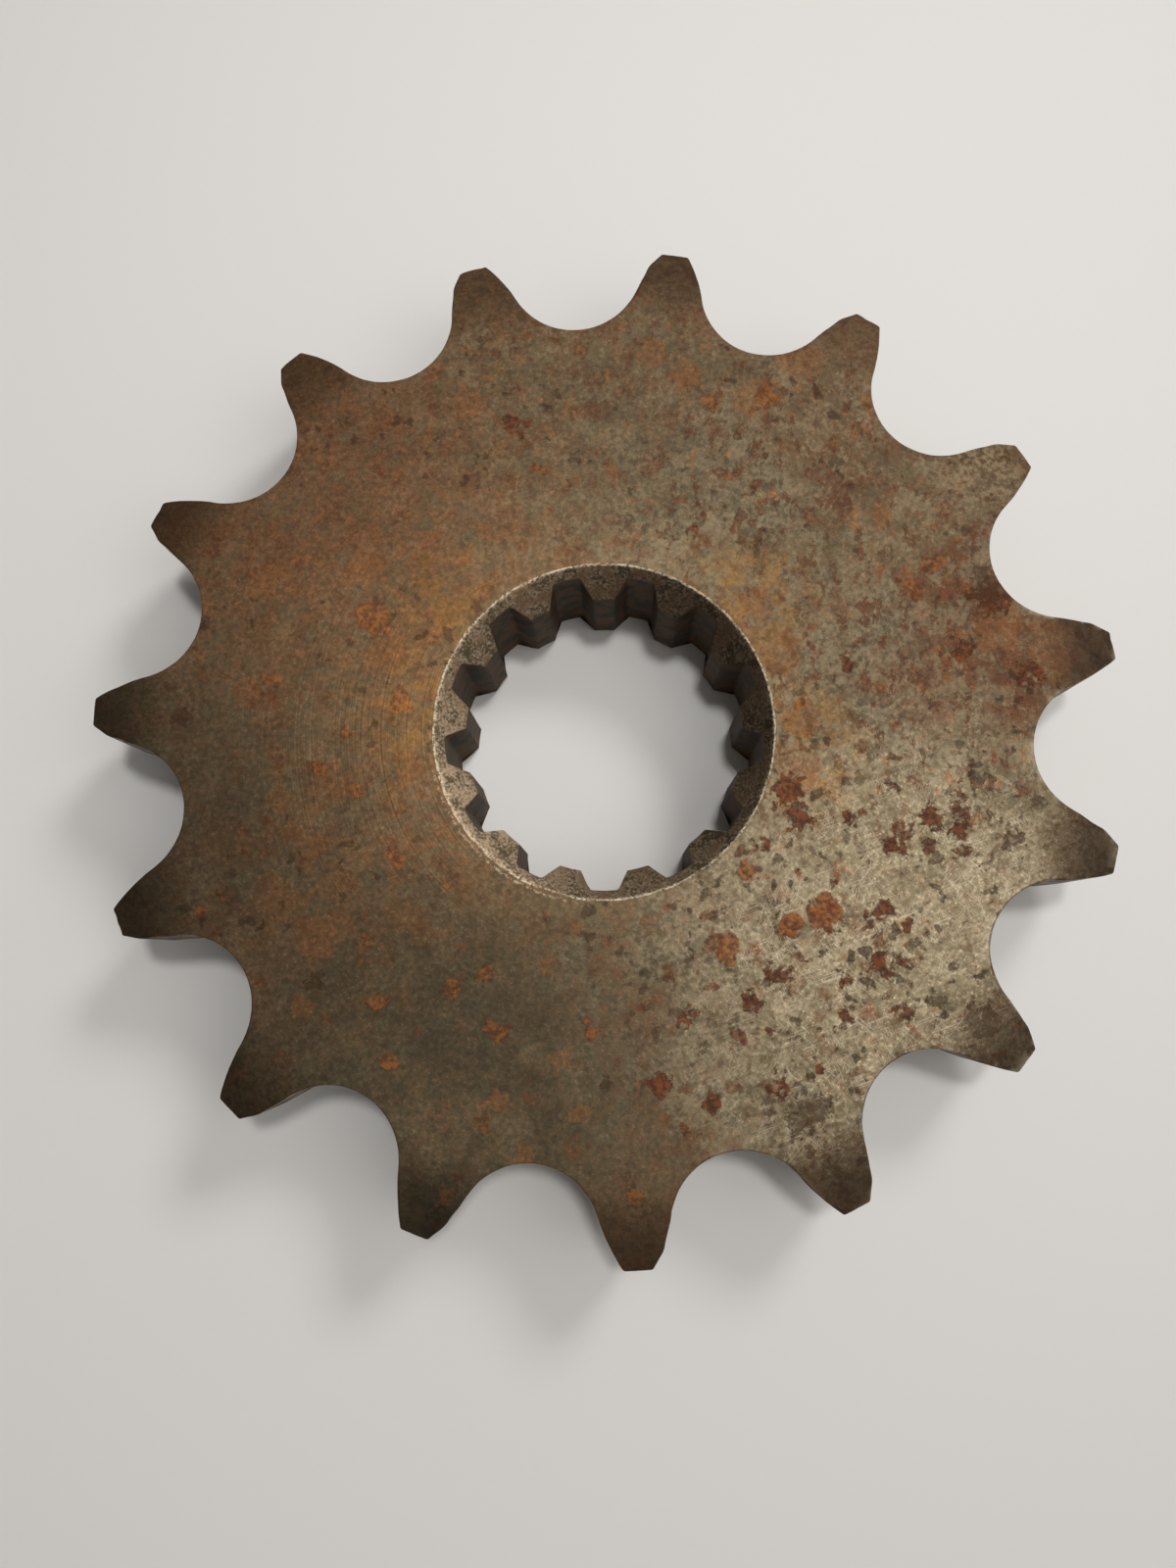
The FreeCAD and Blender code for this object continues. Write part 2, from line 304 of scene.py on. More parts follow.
def add_ring(plan, height, finish, worn=0.0):
    """One row of the skin: plan points, their height and how worn the edge is there."""
    rings.append(np.column_stack([plan, np.broadcast_to(height, len(plan))]))
    finishes.append(finish)
    wear.append(np.broadcast_to(worn, len(plan)))


def inset(amount):
    """The rim moved in towards the metal."""
    return rim - inset_direction * np.broadcast_to(amount, POINTS)[:, None]


def between(inner, outer, share):
    """Points part of the way from an inner ring to an outer one."""
    return inner + (outer - inner) * np.broadcast_to(share, POINTS)[:, None]


# %% Rows across a face, and where they lie: shares of the way over the relief and the flat
RELIEF_SHARES = [0.02, 0.06, 0.16, 0.3, 0.46, 0.64, 0.82, 1.0]
OUTER_FACE_SHARES = [
    0.02, 0.06, 0.12, 0.19, 0.27, 0.35, 0.43, 0.51, 0.59, 0.67, 0.74, 0.81, 0.87, 0.92, 0.96, 0.985]
INNER_FACE_SHARES = [0.1, 0.4, 0.8, 0.97]
CREASE_HALF_WIDTH = 0.2


def face_rows(outer, inner_radius, top, finish, upward):
    """Rows across a face, from the rim's inset edge in to a circle."""
    inner = polar(inner_radius, directions)
    outer_reach = np.hypot(outer[:, 0], outer[:, 1])
    crease = TIP_RADIUS - RELIEF_HEIGHT
    above = np.minimum(crease + CREASE_HALF_WIDTH, outer_reach - 0.5)
    below = above - 2 * CREASE_HALF_WIDTH
    flat_shares = OUTER_FACE_SHARES if upward else INNER_FACE_SHARES
    levels = [outer_reach + (above - outer_reach) * share for share in RELIEF_SHARES]
    levels += [(above + below) / 2, below]
    levels += [below + (inner_radius - below) * share for share in flat_shares]
    for level in levels:
        plan = between(inner, outer, (level - inner_radius) / (outer_reach - inner_radius))
        reach = np.hypot(plan[:, 0], plan[:, 1])
        drop = relief_drop(reach)
        closeness = np.exp(-(outer_reach - level) / 0.25)
        yield plan, top - drop if upward else top + drop, finish, closeness


# %% Rows of the outer face, the mouth of the bore and the bore
mouth_radius = BORE_RADIUS + MOUTH_CHAMFER
mouth_wear = 0.10 + 0.04 * wander(30) + 0.03 * np.abs(wander(300, 60))
mouth_wear = np.clip(mouth_wear, 0.04, 0.3)
rim_top = FACE - relief_drop(rim_reach)

top_ring = inset(edge)
add_ring(top_ring, FACE - relief_drop(np.hypot(*top_ring.T)), FACE_FINISH, 1.0)
for row in face_rows(inset(edge + 0.02), mouth_radius + 0.34, FACE, FACE_FINISH, True):
    add_ring(*row)
add_ring(polar(mouth_radius + 0.22, directions), FACE - 0.005, FACE_FINISH, 0.6)
add_ring(polar(mouth_radius + mouth_wear, directions), FACE - 0.03, FACE_FINISH, 1.0)
lip = polar(mouth_radius + 0.2 * mouth_wear, directions)
add_ring(lip, FACE - 0.4 * mouth_wear, BORE_FINISH, 1.0)

mouth = polar(mouth_radius, directions)
cone_depth = mouth_radius - bore_reach
for share in (0.12, 0.35, 0.62, 0.88, 0.97):
    add_ring(between(mouth, bore, share), FACE - cone_depth * share, BORE_FINISH, 0.0)
bore_top = FACE - cone_depth
lead_radius = BORE_RADIUS + LEAD_CHAMFER
bore_low = np.maximum(lead_radius - bore_reach, 0.0) + 0.03
for drop in (0.04, 0.14):
    add_ring(bore, bore_top - drop, BORE_FINISH, 0.0)
for share in (0.2, 0.5, 0.8, 0.985):
    add_ring(bore, bore_top + (bore_low - bore_top) * share, BORE_FINISH, 0.0)
add_ring(bore, bore_low, BORE_FINISH, 0.0)

# %% Rows of the boss, the inner face and the rim
lead = polar(np.maximum(lead_radius, bore_reach + 0.04), directions)
add_ring(lead, 0.0, FACE_FINISH, 0.3)
for radius in (13.3, 15.5, BOSS_RADIUS - BOSS_CHAMFER - 0.15, BOSS_RADIUS - BOSS_CHAMFER):
    add_ring(polar(radius, directions), 0.0, FACE_FINISH, 0.0)
for radius, height in (
    (BOSS_RADIUS - 0.04, BOSS_CHAMFER - 0.04),
    (BOSS_RADIUS, BOSS_CHAMFER + 0.1),
    (BOSS_RADIUS, BOSS_HEIGHT - 0.5),
    (BOSS_RADIUS + 0.15, BOSS_HEIGHT - 0.15),
    (BOSS_RADIUS + 0.5, BOSS_HEIGHT),
):
    add_ring(polar(radius, directions), height, FACE_FINISH, 0.0)
LOW_EDGE = 0.14
inner_face = face_rows(inset(LOW_EDGE + 0.02), BOSS_RADIUS + 0.8, BOSS_HEIGHT, FACE_FINISH, False)
for row in reversed(list(inner_face)):
    add_ring(*row)
rim_low = BOSS_HEIGHT + relief_drop(rim_reach)
low_ring = inset(LOW_EDGE)
add_ring(low_ring, BOSS_HEIGHT + relief_drop(np.hypot(*low_ring.T)), RIM_FINISH, 1.0)
add_ring(inset(0.3 * LOW_EDGE), rim_low + 0.3 * LOW_EDGE, RIM_FINISH, 1.0)
wall_top = rim_top - edge
wall_low = rim_low + LOW_EDGE
add_ring(rim, wall_low, RIM_FINISH, 0.6)
for share in (0.03, 0.15, 0.35, 0.5, 0.65, 0.85, 0.97):
    add_ring(rim, wall_low + (wall_top - wall_low) * share, RIM_FINISH, 0.0)
add_ring(rim, wall_top, RIM_FINISH, 0.6)
add_ring(inset(0.3 * edge), rim_top - 0.3 * edge, FACE_FINISH, 1.0)
print("rows", len(rings), "faces", len(rings) * POINTS)

# %% Join the rings into one closed mesh
ROWS = len(rings)
points = np.concatenate(rings) * MM
index = np.arange(ROWS * POINTS).reshape(ROWS, POINTS)
following = np.roll(index, -1, axis=0)
quads = np.stack(
    [index, np.roll(index, -1, axis=1), np.roll(following, -1, axis=1), following], axis=-1
).reshape(-1, 4)

mesh = bpy.data.meshes.new("sprocket_steel")
mesh.from_pydata(points.tolist(), [], quads.tolist())
mesh.polygons.foreach_set("use_smooth", np.ones(len(quads), bool))
mesh.polygons.foreach_set("material_index", np.repeat(finishes, POINTS).astype(np.int32))
worn = mesh.attributes.new("edge_wear", "FLOAT", "POINT")
worn.data.foreach_set("value", np.concatenate(wear).astype(np.float32))
mesh.update()

sprocket = bpy.data.objects.new("sprocket_steel", mesh)
bpy.context.scene.collection.objects.link(sprocket)
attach(sprocket, "root")
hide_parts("sprocket")

# %% Check that the skin is closed and that no strip of it has folded over
sides = np.stack([quads, np.roll(quads, -1, axis=1)], axis=-1).reshape(-1, 2)
uses = np.unique(np.sort(sides, axis=1), axis=0, return_counts=True)[1]
print("faces", len(quads), "edges that two faces share", np.mean(uses == 2))
FACE_ROWS = finishes.index(BORE_FINISH) - 1
plan = points[:, :2][quads[:FACE_ROWS * POINTS]]
spread = plan[:, 2] - plan[:, 0]
other = plan[:, 3] - plan[:, 1]
turn = spread[:, 0] * other[:, 1] - spread[:, 1] * other[:, 0]
print("folded faces", int(min((turn > 0).sum(), (turn < 0).sum())))

# %% [markdown]
# ## Writing shader maths as ordinary arithmetic
#
# A worn surface is a stack of masks: where it is rusty, where it is scratched, where the
# bare metal shows. In the shader editor every plus and times is a box with wires. The
# small class below wraps one wire, so that a mask can be written as a sum instead, and
# the boxes are added behind it.

# %% One wire of a node tree
class Wire:
    """A socket of a node tree that can be used in ordinary arithmetic."""

    def __init__(self, tree, socket=None):
        self.tree = tree
        self.socket = socket

    def node(self, kind, settings, sockets, output=0):
        """Add a node, set it up, then feed its sockets with values or with other wires."""
        added = self.tree.nodes.new(kind)
        for name, value in settings.items():
            setattr(added, name, value)
        for name, value in sockets.items():
            if isinstance(value, Wire):
                self.tree.links.new(value.socket, added.inputs[name])
            else:
                added.inputs[name].default_value = value
        return Wire(self.tree, added.outputs[output])

    def maths(self, operation, *values):
        return self.node("ShaderNodeMath", {"operation": operation}, dict(enumerate(values)))

    def __add__(self, other):
        return self.maths("ADD", self, other)

    def __sub__(self, other):
        return self.maths("SUBTRACT", self, other)

    def __rsub__(self, other):
        return self.maths("SUBTRACT", other, self)

    def __mul__(self, other):
        return self.maths("MULTIPLY", self, other)

    __radd__ = __add__
    __rmul__ = __mul__

    def most(self, other):
        return self.maths("MAXIMUM", self, other)


# %% Helpers that masks are made with
def fade(value, none, full):
    """A mask that is 0 where the value is `none`, 1 where it is `full`, and soft between."""
    sockets = {"Value": value, "From Min": none, "From Max": full}
    return value.node("ShaderNodeMapRange", {"interpolation_type": "SMOOTHSTEP"}, sockets)


def cloud(at, size, detail=3.0, roughness=0.55):
    """Smooth random values about 0.5, in lumps of about `size` millimetres."""
    sockets = {"Vector": at, "Scale": 1 / size, "Detail": detail, "Roughness": roughness}
    return at.node("ShaderNodeTexNoise", {}, sockets)


def shifted(at, offset):
    """The same place looked up in another part of a pattern."""
    return at.node("ShaderNodeVectorMath", {"operation": "ADD"}, {0: at, 1: (offset,) * 3})


def stretched(at, factors):
    """The same place with each direction squeezed or drawn out by its own factor."""
    return at.node("ShaderNodeVectorMath", {"operation": "MULTIPLY"}, {0: at, 1: factors})


def wobbled(at, size, amount):
    """Places pushed about at random, so that a round spot gets a ragged outline."""
    sockets = {"Vector": at, "Scale": 1 / size, "Detail": 3.0}
    push = at.node("ShaderNodeTexNoise", {}, sockets, output=1)
    vector = {"operation": "SUBTRACT"}
    push = at.node("ShaderNodeVectorMath", vector, {0: push, 1: (0.5, 0.5, 0.5)})
    push = at.node("ShaderNodeVectorMath", {"operation": "SCALE"}, {0: push, "Scale": amount})
    return at.node("ShaderNodeVectorMath", {"operation": "ADD"}, {0: at, 1: push})


def patches(at, number, size, none, full, roughness=0.7):
    """A mask of ragged patches. Each number looks up another part of the same noise."""
    return fade(cloud(shifted(at, number), size, 5.0, roughness), none, full)


def tint(mask, under, over):
    """A colour laid over another where the mask is 1."""
    return mask.node("ShaderNodeMix", {"data_type": "RGBA"}, {0: mask, 6: under, 7: over}, 2)


def shaded(mask, colour, factor):
    """A colour made lighter or darker by a factor where the mask is 1."""
    strength = 1 + mask * (factor - 1)
    settings = {"operation": "SCALE"}
    return mask.node("ShaderNodeVectorMath", settings, {0: colour, "Scale": strength})


# %% Helpers that place a mask on the part
CONE_SPREAD = 1.9


def near(at, x, y, inner, outer):
    """A soft round mask about a place on the outer face: full to `inner`, gone at `outer`."""
    reach = at.node("ShaderNodeVectorMath", {"operation": "DISTANCE"}, {0: at, 1: (x, y, FACE)}, 1)
    return fade(reach, outer, inner)


def areas(at, *rounds):
    """Several round masks as one, each given as x, y, inner, outer and its strength."""
    masks = [near(at, *place) * strength for *place, strength in rounds]
    return functools.reduce(Wire.most, masks)


def spots(at, places, torn):
    """A mask of ragged spots, each given as x, y and radius in millimetres."""
    cones = [near(at, x, y, 0, radius * CONE_SPREAD) for x, y, radius in places]
    return fade(functools.reduce(Wire.most, cones) + torn, 0.42, 0.60)


def flecks(at, spacing, biggest, share, torn):
    """Scattered ragged spots: `share` of the cells of a random grid have one."""
    sockets = {"Vector": at, "Scale": 1 / spacing}
    reach = at.node("ShaderNodeTexVoronoi", {}, sockets)
    chance = at.node("ShaderNodeTexVoronoi", {}, sockets, output=1)
    chance = at.node("ShaderNodeSeparateColor", {}, {0: chance})
    size = (chance - (1 - share)) * (biggest / spacing / share)
    return fade(size - reach + torn * 0.5, -0.02, 0.10)


def scratches(at, angle, length, width, rarity):
    """Fine straight lines in one direction, where only the peaks of a drawn-out noise show."""
    mapping = {"vector_type": "TEXTURE"}
    turn = {"Vector": at, "Rotation": (0, 0, math.radians(angle)), "Scale": (length, width, 1)}
    drawn = at.node("ShaderNodeMapping", mapping, turn)
    lines = at.node("ShaderNodeTexNoise", {}, {"Vector": drawn, "Scale": 1.0, "Detail": 1.0})
    return fade(lines, rarity, rarity + 0.08)


# %% [markdown]
# ## What every finish starts from
#
# All the finishes need the same few things: the place on the part in millimetres, the
# distance from the axis, how worn the nearest edge is, and a shader to feed. Only what
# changes over the surface is wired up. A number that is the same everywhere is typed
# straight into the shader's own socket, which is simpler and survives export.

# %% A new finish
DULL_GLOSS = 0.16


def new_finish(name):
    """A material with a metal shader, and wires for the place and the distance out."""
    material = bpy.data.materials.new(name)
    material.use_nodes = True
    start = Wire(material.node_tree)
    at = start.node("ShaderNodeTexCoord", {}, {}, output="Object")
    at = at.node("ShaderNodeVectorMath", {"operation": "SCALE"}, {0: at, "Scale": 1 / MM})
    flat = stretched(at, (1, 1, 0))
    out = at.node("ShaderNodeVectorMath", {"operation": "LENGTH"}, {0: flat}, 1)
    mesh.materials.append(material)
    return material, at, out


def feed_shader(material, colour, roughness, metallic, relief):
    """Wire the finished masks to the shader; relief is a height in millimetres."""
    shader = material.node_tree.nodes["Principled BSDF"]
    shader.inputs["Specular IOR Level"].default_value = DULL_GLOSS
    settings = {"Distance": MM, "Strength": 1.0}
    normal = relief.node("ShaderNodeBump", {}, {"Height": relief, **settings})
    feeds = {"Base Color": colour, "Roughness": roughness, "Metallic": metallic, "Normal": normal}
    for name, wire in feeds.items():
        material.node_tree.links.new(wire.socket, shader.inputs[name])
    print(material.name, "nodes", len(material.node_tree.nodes))


def worn_edges(at):
    """How worn the nearest edge is, as stored on the mesh's points."""
    return at.node("ShaderNodeAttribute", {"attribute_name": "edge_wear"}, {}, output="Fac")


# %% [markdown]
# ## The colours of old steel
#
# Bare steel is a warm sandy grey. Handling and damp lay a thin film on it that goes
# from olive to brown, and where water has stood the rust is thick enough to be a colour
# of its own: ochre when it is young and thin, orange in fresh spots, brick red in old
# ones, nearly black where it is packed with grease.

# %% Colours
BARE_STEEL = (0.300, 0.243, 0.152, 1)
OLIVE_FILM = (0.052, 0.044, 0.024, 1)
BROWN_FILM = (0.140, 0.071, 0.029, 1)
GREY_FILM = (0.136, 0.100, 0.051, 1)
RED_FILM = (0.130, 0.050, 0.020, 1)
OCHRE = (0.27, 0.130, 0.030, 1)
ORANGE_RUST = (0.32, 0.100, 0.020, 1)
BRICK_RUST = (0.165, 0.048, 0.018, 1)
DARK_RUST = (0.045, 0.022, 0.011, 1)
MUD_RUST = (0.21, 0.088, 0.030, 1)
SPECK_RUST = (0.112, 0.046, 0.020, 1)
OLD_RUST = (0.090, 0.034, 0.017, 1)
BURNT_OIL = (0.026, 0.020, 0.012, 1)
SKIN_BROWN = (0.098, 0.054, 0.025, 1)
RIM_BROWN = (0.140, 0.088, 0.048, 1)
RUBBED_STEEL = (0.28, 0.225, 0.150, 1)
CUT_DARK = (0.105, 0.074, 0.043, 1)
CUT_LIGHT = (0.47, 0.36, 0.24, 1)
LICHEN = (0.128, 0.104, 0.060, 1)
PALE_SPECK = (0.225, 0.172, 0.098, 1)
# Worn bare steel, drawn light enough to stand also for a painted glint
GLINT_AND_BARE_EDGE = (0.62, 0.53, 0.38, 1)

# %% [markdown]
# ## The outer face
#
# The face was turned on a lathe, which leaves rings about a seventh of a millimetre
# apart. Then it lived behind a chain: one side has been scuffed back to bare steel, the
# other keeps its olive and brown films, and rust has started in spots on both. The big
# areas are given one by one, because that is what makes a part recognisable. Their edges
# are broken up with noise, so that no outline is smooth.

# %% Rust spots listed one by one: x, y and radius in millimetres
ORANGE_SPOTS = [
    (-18, 9, 1.3), (-16, 2, 1.0), (-20, 0, 0.6), (-19, -5, 0.6), (-16, -10, 0.7), (-12, -12, 0.6),
    (-17, -21, 0.8), (-16, -25, 0.9), (-12, -20, 1.0), (-9, -19, 0.8), (-8, -23, 0.8),
    (-31, -14, 0.7), (26, 13, 1.1), (17, -14, 1.5), (14, -15, 1.0), (9, -17, 1.0),
    (11, -11, 0.8), (31, -23, 0.7), (2, -35, 0.6), (9, 27, 1.0), (-1, -23, 0.7),
    (-22, -3, 0.7), (-26, 4, 0.7), (24, 11, 0.8), (13, 27, 0.8), (-5, 21, 0.6), (15, 2, 0.8),
]
SOFT_SPOTS = [
    (-25, -5, 1.0), (-24, -8, 0.9), (-22, -16, 1.6), (-23, -21, 0.9), (-8, -28, 1.1),
    (-3, -25, 0.9), (-2, -29, 0.9), (-6, -32, 0.9), (-12, -35, 0.8), (-15, -3, 1.2),
    (-17, 6, 1.8), (-28, 3, 1.3), (-27, 12, 1.4), (-11, 27, 1.4), (35, 6, 2.6), (12, 27, 1.6),
    (31, 8, 2.0), (16, 30, 2.0), (-19, 13, 1.5), (7, 29, 1.4), (-4, -18, 0.8),
    (15, -3, 1.9), (15, 1, 1.6), (14, 6, 1.7), (12, 10, 1.4), (22, 17, 1.2), (4, 31, 1.5),
]
BRICK_SPOTS = [
    (14, -5, 1.3), (15, -7, 1.2), (12, -9, 0.8), (19, -7, 0.9), (25, -7, 0.9),
    (27, -8, 0.8), (22, -9, 0.8), (21, -14, 1.0), (23, -15, 0.6), (21, -18, 0.9),
    (18, -19, 0.7), (13, -19, 1.0), (11, -21, 0.9), (18, -22, 0.6), (6, -22, 0.8),
    (4, -27, 0.9), (8, -28, 0.7), (13, -27, 0.9), (16, -26, 0.5), (6, -30, 0.5),
    (30, 10, 1.3), (33, 4, 1.0), (28, 6, 0.8), (19, 5, 0.7), (7, 16, 0.7), (-7, 25, 0.9),
]
DARK_STAINS = [
    (31, -9, 0.9), (33, -6, 0.8), (29, -4, 0.8), (25, -21, 0.9), (15, -29, 1.6),
    (28, -22, 1.3), (-22, -19, 0.7), (-33, 1, 0.8), (30, 11, 1.5), (0, -27, 0.5),
]

# %% Where the face is bare, olive or brown
face, at, out = new_finish("turned_face")
ragged = wobbled(at, 5.3, 9.0)
lumps = cloud(at, 9.0)
mottle = cloud(shifted(at, 40), 1.9, 5.0, 0.65)
speckle = cloud(shifted(at, 70), 0.42, 3.0, 0.6)
grit = cloud(shifted(at, 90), 0.16, 2.0, 0.5)

bare_area = areas(
    ragged, (23, -17, 9, 33, 1.0), (20, 2, 4, 17, 0.6), (8, 14, 3, 16, 0.45), (33, 18, 0.5, 4.5, 1.0))
olive_area = areas(ragged, (-13, -28, 6, 22, 1.0), (-33, -6, 2, 12, 0.6))
red_area = areas(ragged, (30, 7, 4, 11, 1.0), (-24, 20, 6, 22, 0.6))
scuffed = near(ragged, 24, -19, 7, 25)
# Painted shade on the tips of the teeth, weaker towards the top and the upper right, where the lamps
# are
tip_shade = fade(out, 33.0, 39.0)
tip_shade = tip_shade * (1 - 0.75 * near(at, 30, 28, 6, 26)) * (1 - 0.35 * near(at, -12, 38, 8, 28))

# %% Lay the films over the steel
film = fade(mottle + (lumps - 0.5) * 0.4 + (speckle - 0.5) * 0.7 - bare_area * 0.34, 0.28, 0.52)
colour = tint(fade(mottle + speckle, 0.75, 1.25) * 0.7 + bare_area * 0.3, GREY_FILM, BARE_STEEL)
colour = tint(film * 0.8, colour, BROWN_FILM)
grey_veil = patches(at, 33, 2.6, 0.46, 0.60) * (1 - bare_area * 0.5)
colour = tint(grey_veil * 0.65, colour, GREY_FILM)
red_veil = patches(at, 44, 2.4, 0.48, 0.66) * (1 - scuffed) * (1 - olive_area * 0.6)
colour = tint(red_veil * 0.6, colour, RED_FILM)
colour = tint(olive_area * fade(lumps + (mottle - 0.5), 0.2, 0.6) * 0.8, colour, OLIVE_FILM)
colour = tint(red_area * fade(mottle + speckle * 0.3, 0.42, 0.68) * 0.88, colour, RED_FILM)

# %% Break the films up into patches
colour = tint(near(ragged, -19, 17, 6, 22) * patches(at, 52, 1.1, 0.48, 0.62) * 0.5, colour, MUD_RUST)
colour = tint(near(ragged, 4, 23, 5, 17) * patches(at, 58, 1.7, 0.45, 0.58) * 0.5, colour, LICHEN)
speck_area = near(ragged, 22, 12, 14, 30).most(scuffed * 0.45)
speck_area = speck_area.most(near(ragged, 0, 30, 6, 22) * 0.5)
speck_area = (0.2 + 0.8 * speck_area) * (1 - olive_area * 0.7)
colour = tint(speck_area * patches(at, 36, 1.9, 0.47, 0.56) * 0.6, colour, PALE_SPECK)
streaky = stretched(wobbled(at, 3.1, 2.0), (1.25, 0.75, 1))
brown_specks = patches(streaky, 37, 1.35, 0.53, 0.59, 0.75)
colour = tint(speck_area * brown_specks * 0.85, colour, SPECK_RUST)
orange_specks = (0.10 + 0.75 * speck_area) * patches(at, 39, 1.3, 0.58, 0.64, 0.75)
colour = tint(orange_specks * 0.55, colour, ORANGE_RUST)
left_rust = near(ragged, -20, -9, 5, 17) * patches(at, 41, 3.0, 0.47, 0.62, 0.65)
colour = tint(left_rust * 0.45, colour, MUD_RUST)
pepper = fade(cloud(shifted(at, 19), 0.75, 3.0, 0.6), 0.56, 0.70)
colour = tint(pepper * (0.22 + 0.45 * bare_area), colour, DARK_RUST)

# %% Ochre stains round the bore
stain = areas(at, (-15, 2, 2, 7, 1.0), (-13, 10, 2, 6, 0.8), (15, -2, 2, 7, 1.0), (11, 10, 2, 8, 0.8))
stain = stain * patches(at, 15, 2.2, 0.42, 0.60)
colour = tint(stain * (0.5 + 0.25 * fade(bare_area, 0.0, 0.5)), colour, OCHRE)

# %% [markdown]
# ## Rust spots
#
# Rust starts at a point and eats outwards, so a spot has a round middle and a torn edge.
# Spots could be painted on an image, but an image is only sharp down to its own grain.
# Here a spot is a soft cone about its centre. Noise is added to the cone and a threshold
# cuts the sum, so the outline is torn at every scale. The big spots have chosen places.
# The small ones come from a grid of random cells, where only some of the cells get one.

# %% Flecks and spots of rust
tatter = wobbled(at, 1.7, 2.6)
torn = (cloud(shifted(at, 61), 0.7, 5.0, 0.75) - 0.5) * 2.4
fleck_area = fade(cloud(shifted(at, 25), 11.0, 2.0), 0.36, 0.62)
brown_flecks = flecks(tatter, 1.1, 0.50, 0.6, torn) * fade(olive_area, 0.8, 0.1)
brown_flecks = brown_flecks * (0.35 + 0.65 * fleck_area)
small_flecks = flecks(shifted(tatter, 31), 1.7, 0.6, 0.5, torn) * fade(lumps, 0.3, 0.6)
orange_flecks = flecks(shifted(tatter, 57), 2.3, 0.75, 0.45, torn) * (1 - bare_area * 0.5)
orange = spots(tatter, ORANGE_SPOTS, torn * 0.6).most(orange_flecks * 0.62)
soft_rust = spots(tatter, SOFT_SPOTS, torn * 0.45 + (speckle - 0.5) * 0.6)
brick = spots(tatter, BRICK_SPOTS, torn)
small_brick = flecks(shifted(tatter, 83), 2.4, 0.9, 0.5, torn) * fade(scuffed, 0.1, 0.6)
brick = brick.most(small_brick * 0.9)
brick = brick * fade(cloud(shifted(at, 23), 0.8, 3.0), 0.36, 0.46)
dark = spots(tatter, DARK_STAINS, torn) * fade(mottle + speckle, 0.8, 1.1)

colour = tint(brown_flecks * 0.6, colour, DARK_RUST)
colour = tint(small_flecks * (0.55 + 0.35 * scuffed), colour, BRICK_RUST)
colour = tint(soft_rust * 0.5, colour, MUD_RUST)
orange_core = tint(fade(speckle, 0.62, 0.38), ORANGE_RUST, BRICK_RUST)
brick_core = tint(fade(speckle, 0.38, 0.60), OLD_RUST, BRICK_RUST)
colour = tint(orange * (0.5 + 0.3 * scuffed), colour, orange_core)
colour = tint(brick * 0.9, colour, brick_core)
colour = tint(dark * fade(speckle, 0.3, 0.55) * 0.7, colour, DARK_RUST)

# %% [markdown]
# ## Turning marks and scratches
#
# The lathe's rings depend only on the distance from the axis, so a noise in one dimension
# is enough for them. Scratches run straight, in a few directions. They could be modelled
# one by one, but a noise that is drawn out in one direction gives hundreds of them, if
# only its highest peaks are kept.

# %% Turning marks
RINGS_PER_MM = 7.0
only_out = {"noise_dimensions": "1D"}
ring = at.node("ShaderNodeTexNoise", only_out, {"W": out, "Scale": RINGS_PER_MM, "Detail": 0.0})
# The rings show most left of the bore, where their light and dark bands are partly a painted sheen
ring_sheen_area = (0.2 + 0.8 * near(ragged, -15, -2, 3, 16)) * (1 - tip_shade)
ring_mark = (ring - 0.5) * ring_sheen_area

# %% Scratches, most of them where the film has gone
SCRATCH_DIRECTIONS = [
    (20, 3.6, 0.09, 0.60), (75, 3.0, 0.08, 0.61), (140, 4.0, 0.09, 0.61), (112, 2.6, 0.08, 0.61),
    (50, 5.0, 0.10, 0.62),
]
SCRATCH_LOOKUPS = [0, 0, 8, 3, 6]
lines = [
    scratches(shifted(at, lookup), *direction)
    for lookup, direction in zip(SCRATCH_LOOKUPS, SCRATCH_DIRECTIONS)
]
lines = functools.reduce(Wire.most, lines)
lines = lines * fade(scuffed, 0.0, 0.8) * (1 - tip_shade) * fade(cloud(shifted(at, 5), 1.6), 0.38, 0.6)
glints = fade(grit + speckle * 0.6, 0.93, 1.05) * (0.10 + 0.75 * scuffed) * (1 - tip_shade)

# %% [markdown]
# ## What has been rubbed, and the painted light and shade
#
# An edge that is handled is polished bright, and its bright line also carries a painted glint.
# The mesh already stores how sharp the nearest edge is, so the shader only has to read that
# and break it up with noise. The tips taper away from the chain and nothing rubs them; they
# are darkened by their own film and by a painted shade, weaker towards the top and upper right.

# %% Rubbed edges with a painted glint, and the ring where the lock washer has turned
WASHER_RING = 13.62
rust = brick.most(orange).most(dark).most(brown_flecks * 0.6)
edge_line = worn_edges(at)
# The worn mouth edge: bare steel, drawn as a broken bright line with a painted glint
mouth_line = fade(edge_line, 0.7, 1.0) * fade(out, 17.0, 15.0) * fade(grit + speckle, 0.80, 1.12)
mouth_line = mouth_line * fade(cloud(shifted(at, 77), 1.3, 2.0), 0.30, 0.55)
washer = fade(out.maths("ABSOLUTE", out - WASHER_RING), 0.16, 0.03) * near(at, -9, -10, 3, 11)
washer = washer * fade(grit + speckle, 0.95, 1.15) * 0.56
# A painted highlight along the rim's worn edge, kept to the right side, where the lamps catch it
rim_edge_glint = edge_line * fade(out, 17.0, 20.0) * fade(mottle, 0.48, 0.65)
rim_edge_glint = rim_edge_glint * near(at, 26, -8, 10, 36) * 0.4

# %% Painted light and shade over the face, browner tips, and a pale patch
# Painted light left of the bore, where the lamps' highlight falls
colour = shaded(near(at, -9, 4, 8, 24), colour, 1.30)
# Lighter close round the bore: partly painted light, partly the polish left by the lock washer
colour = shaded(fade(out, 18.5, 14.5), colour, 1.12)
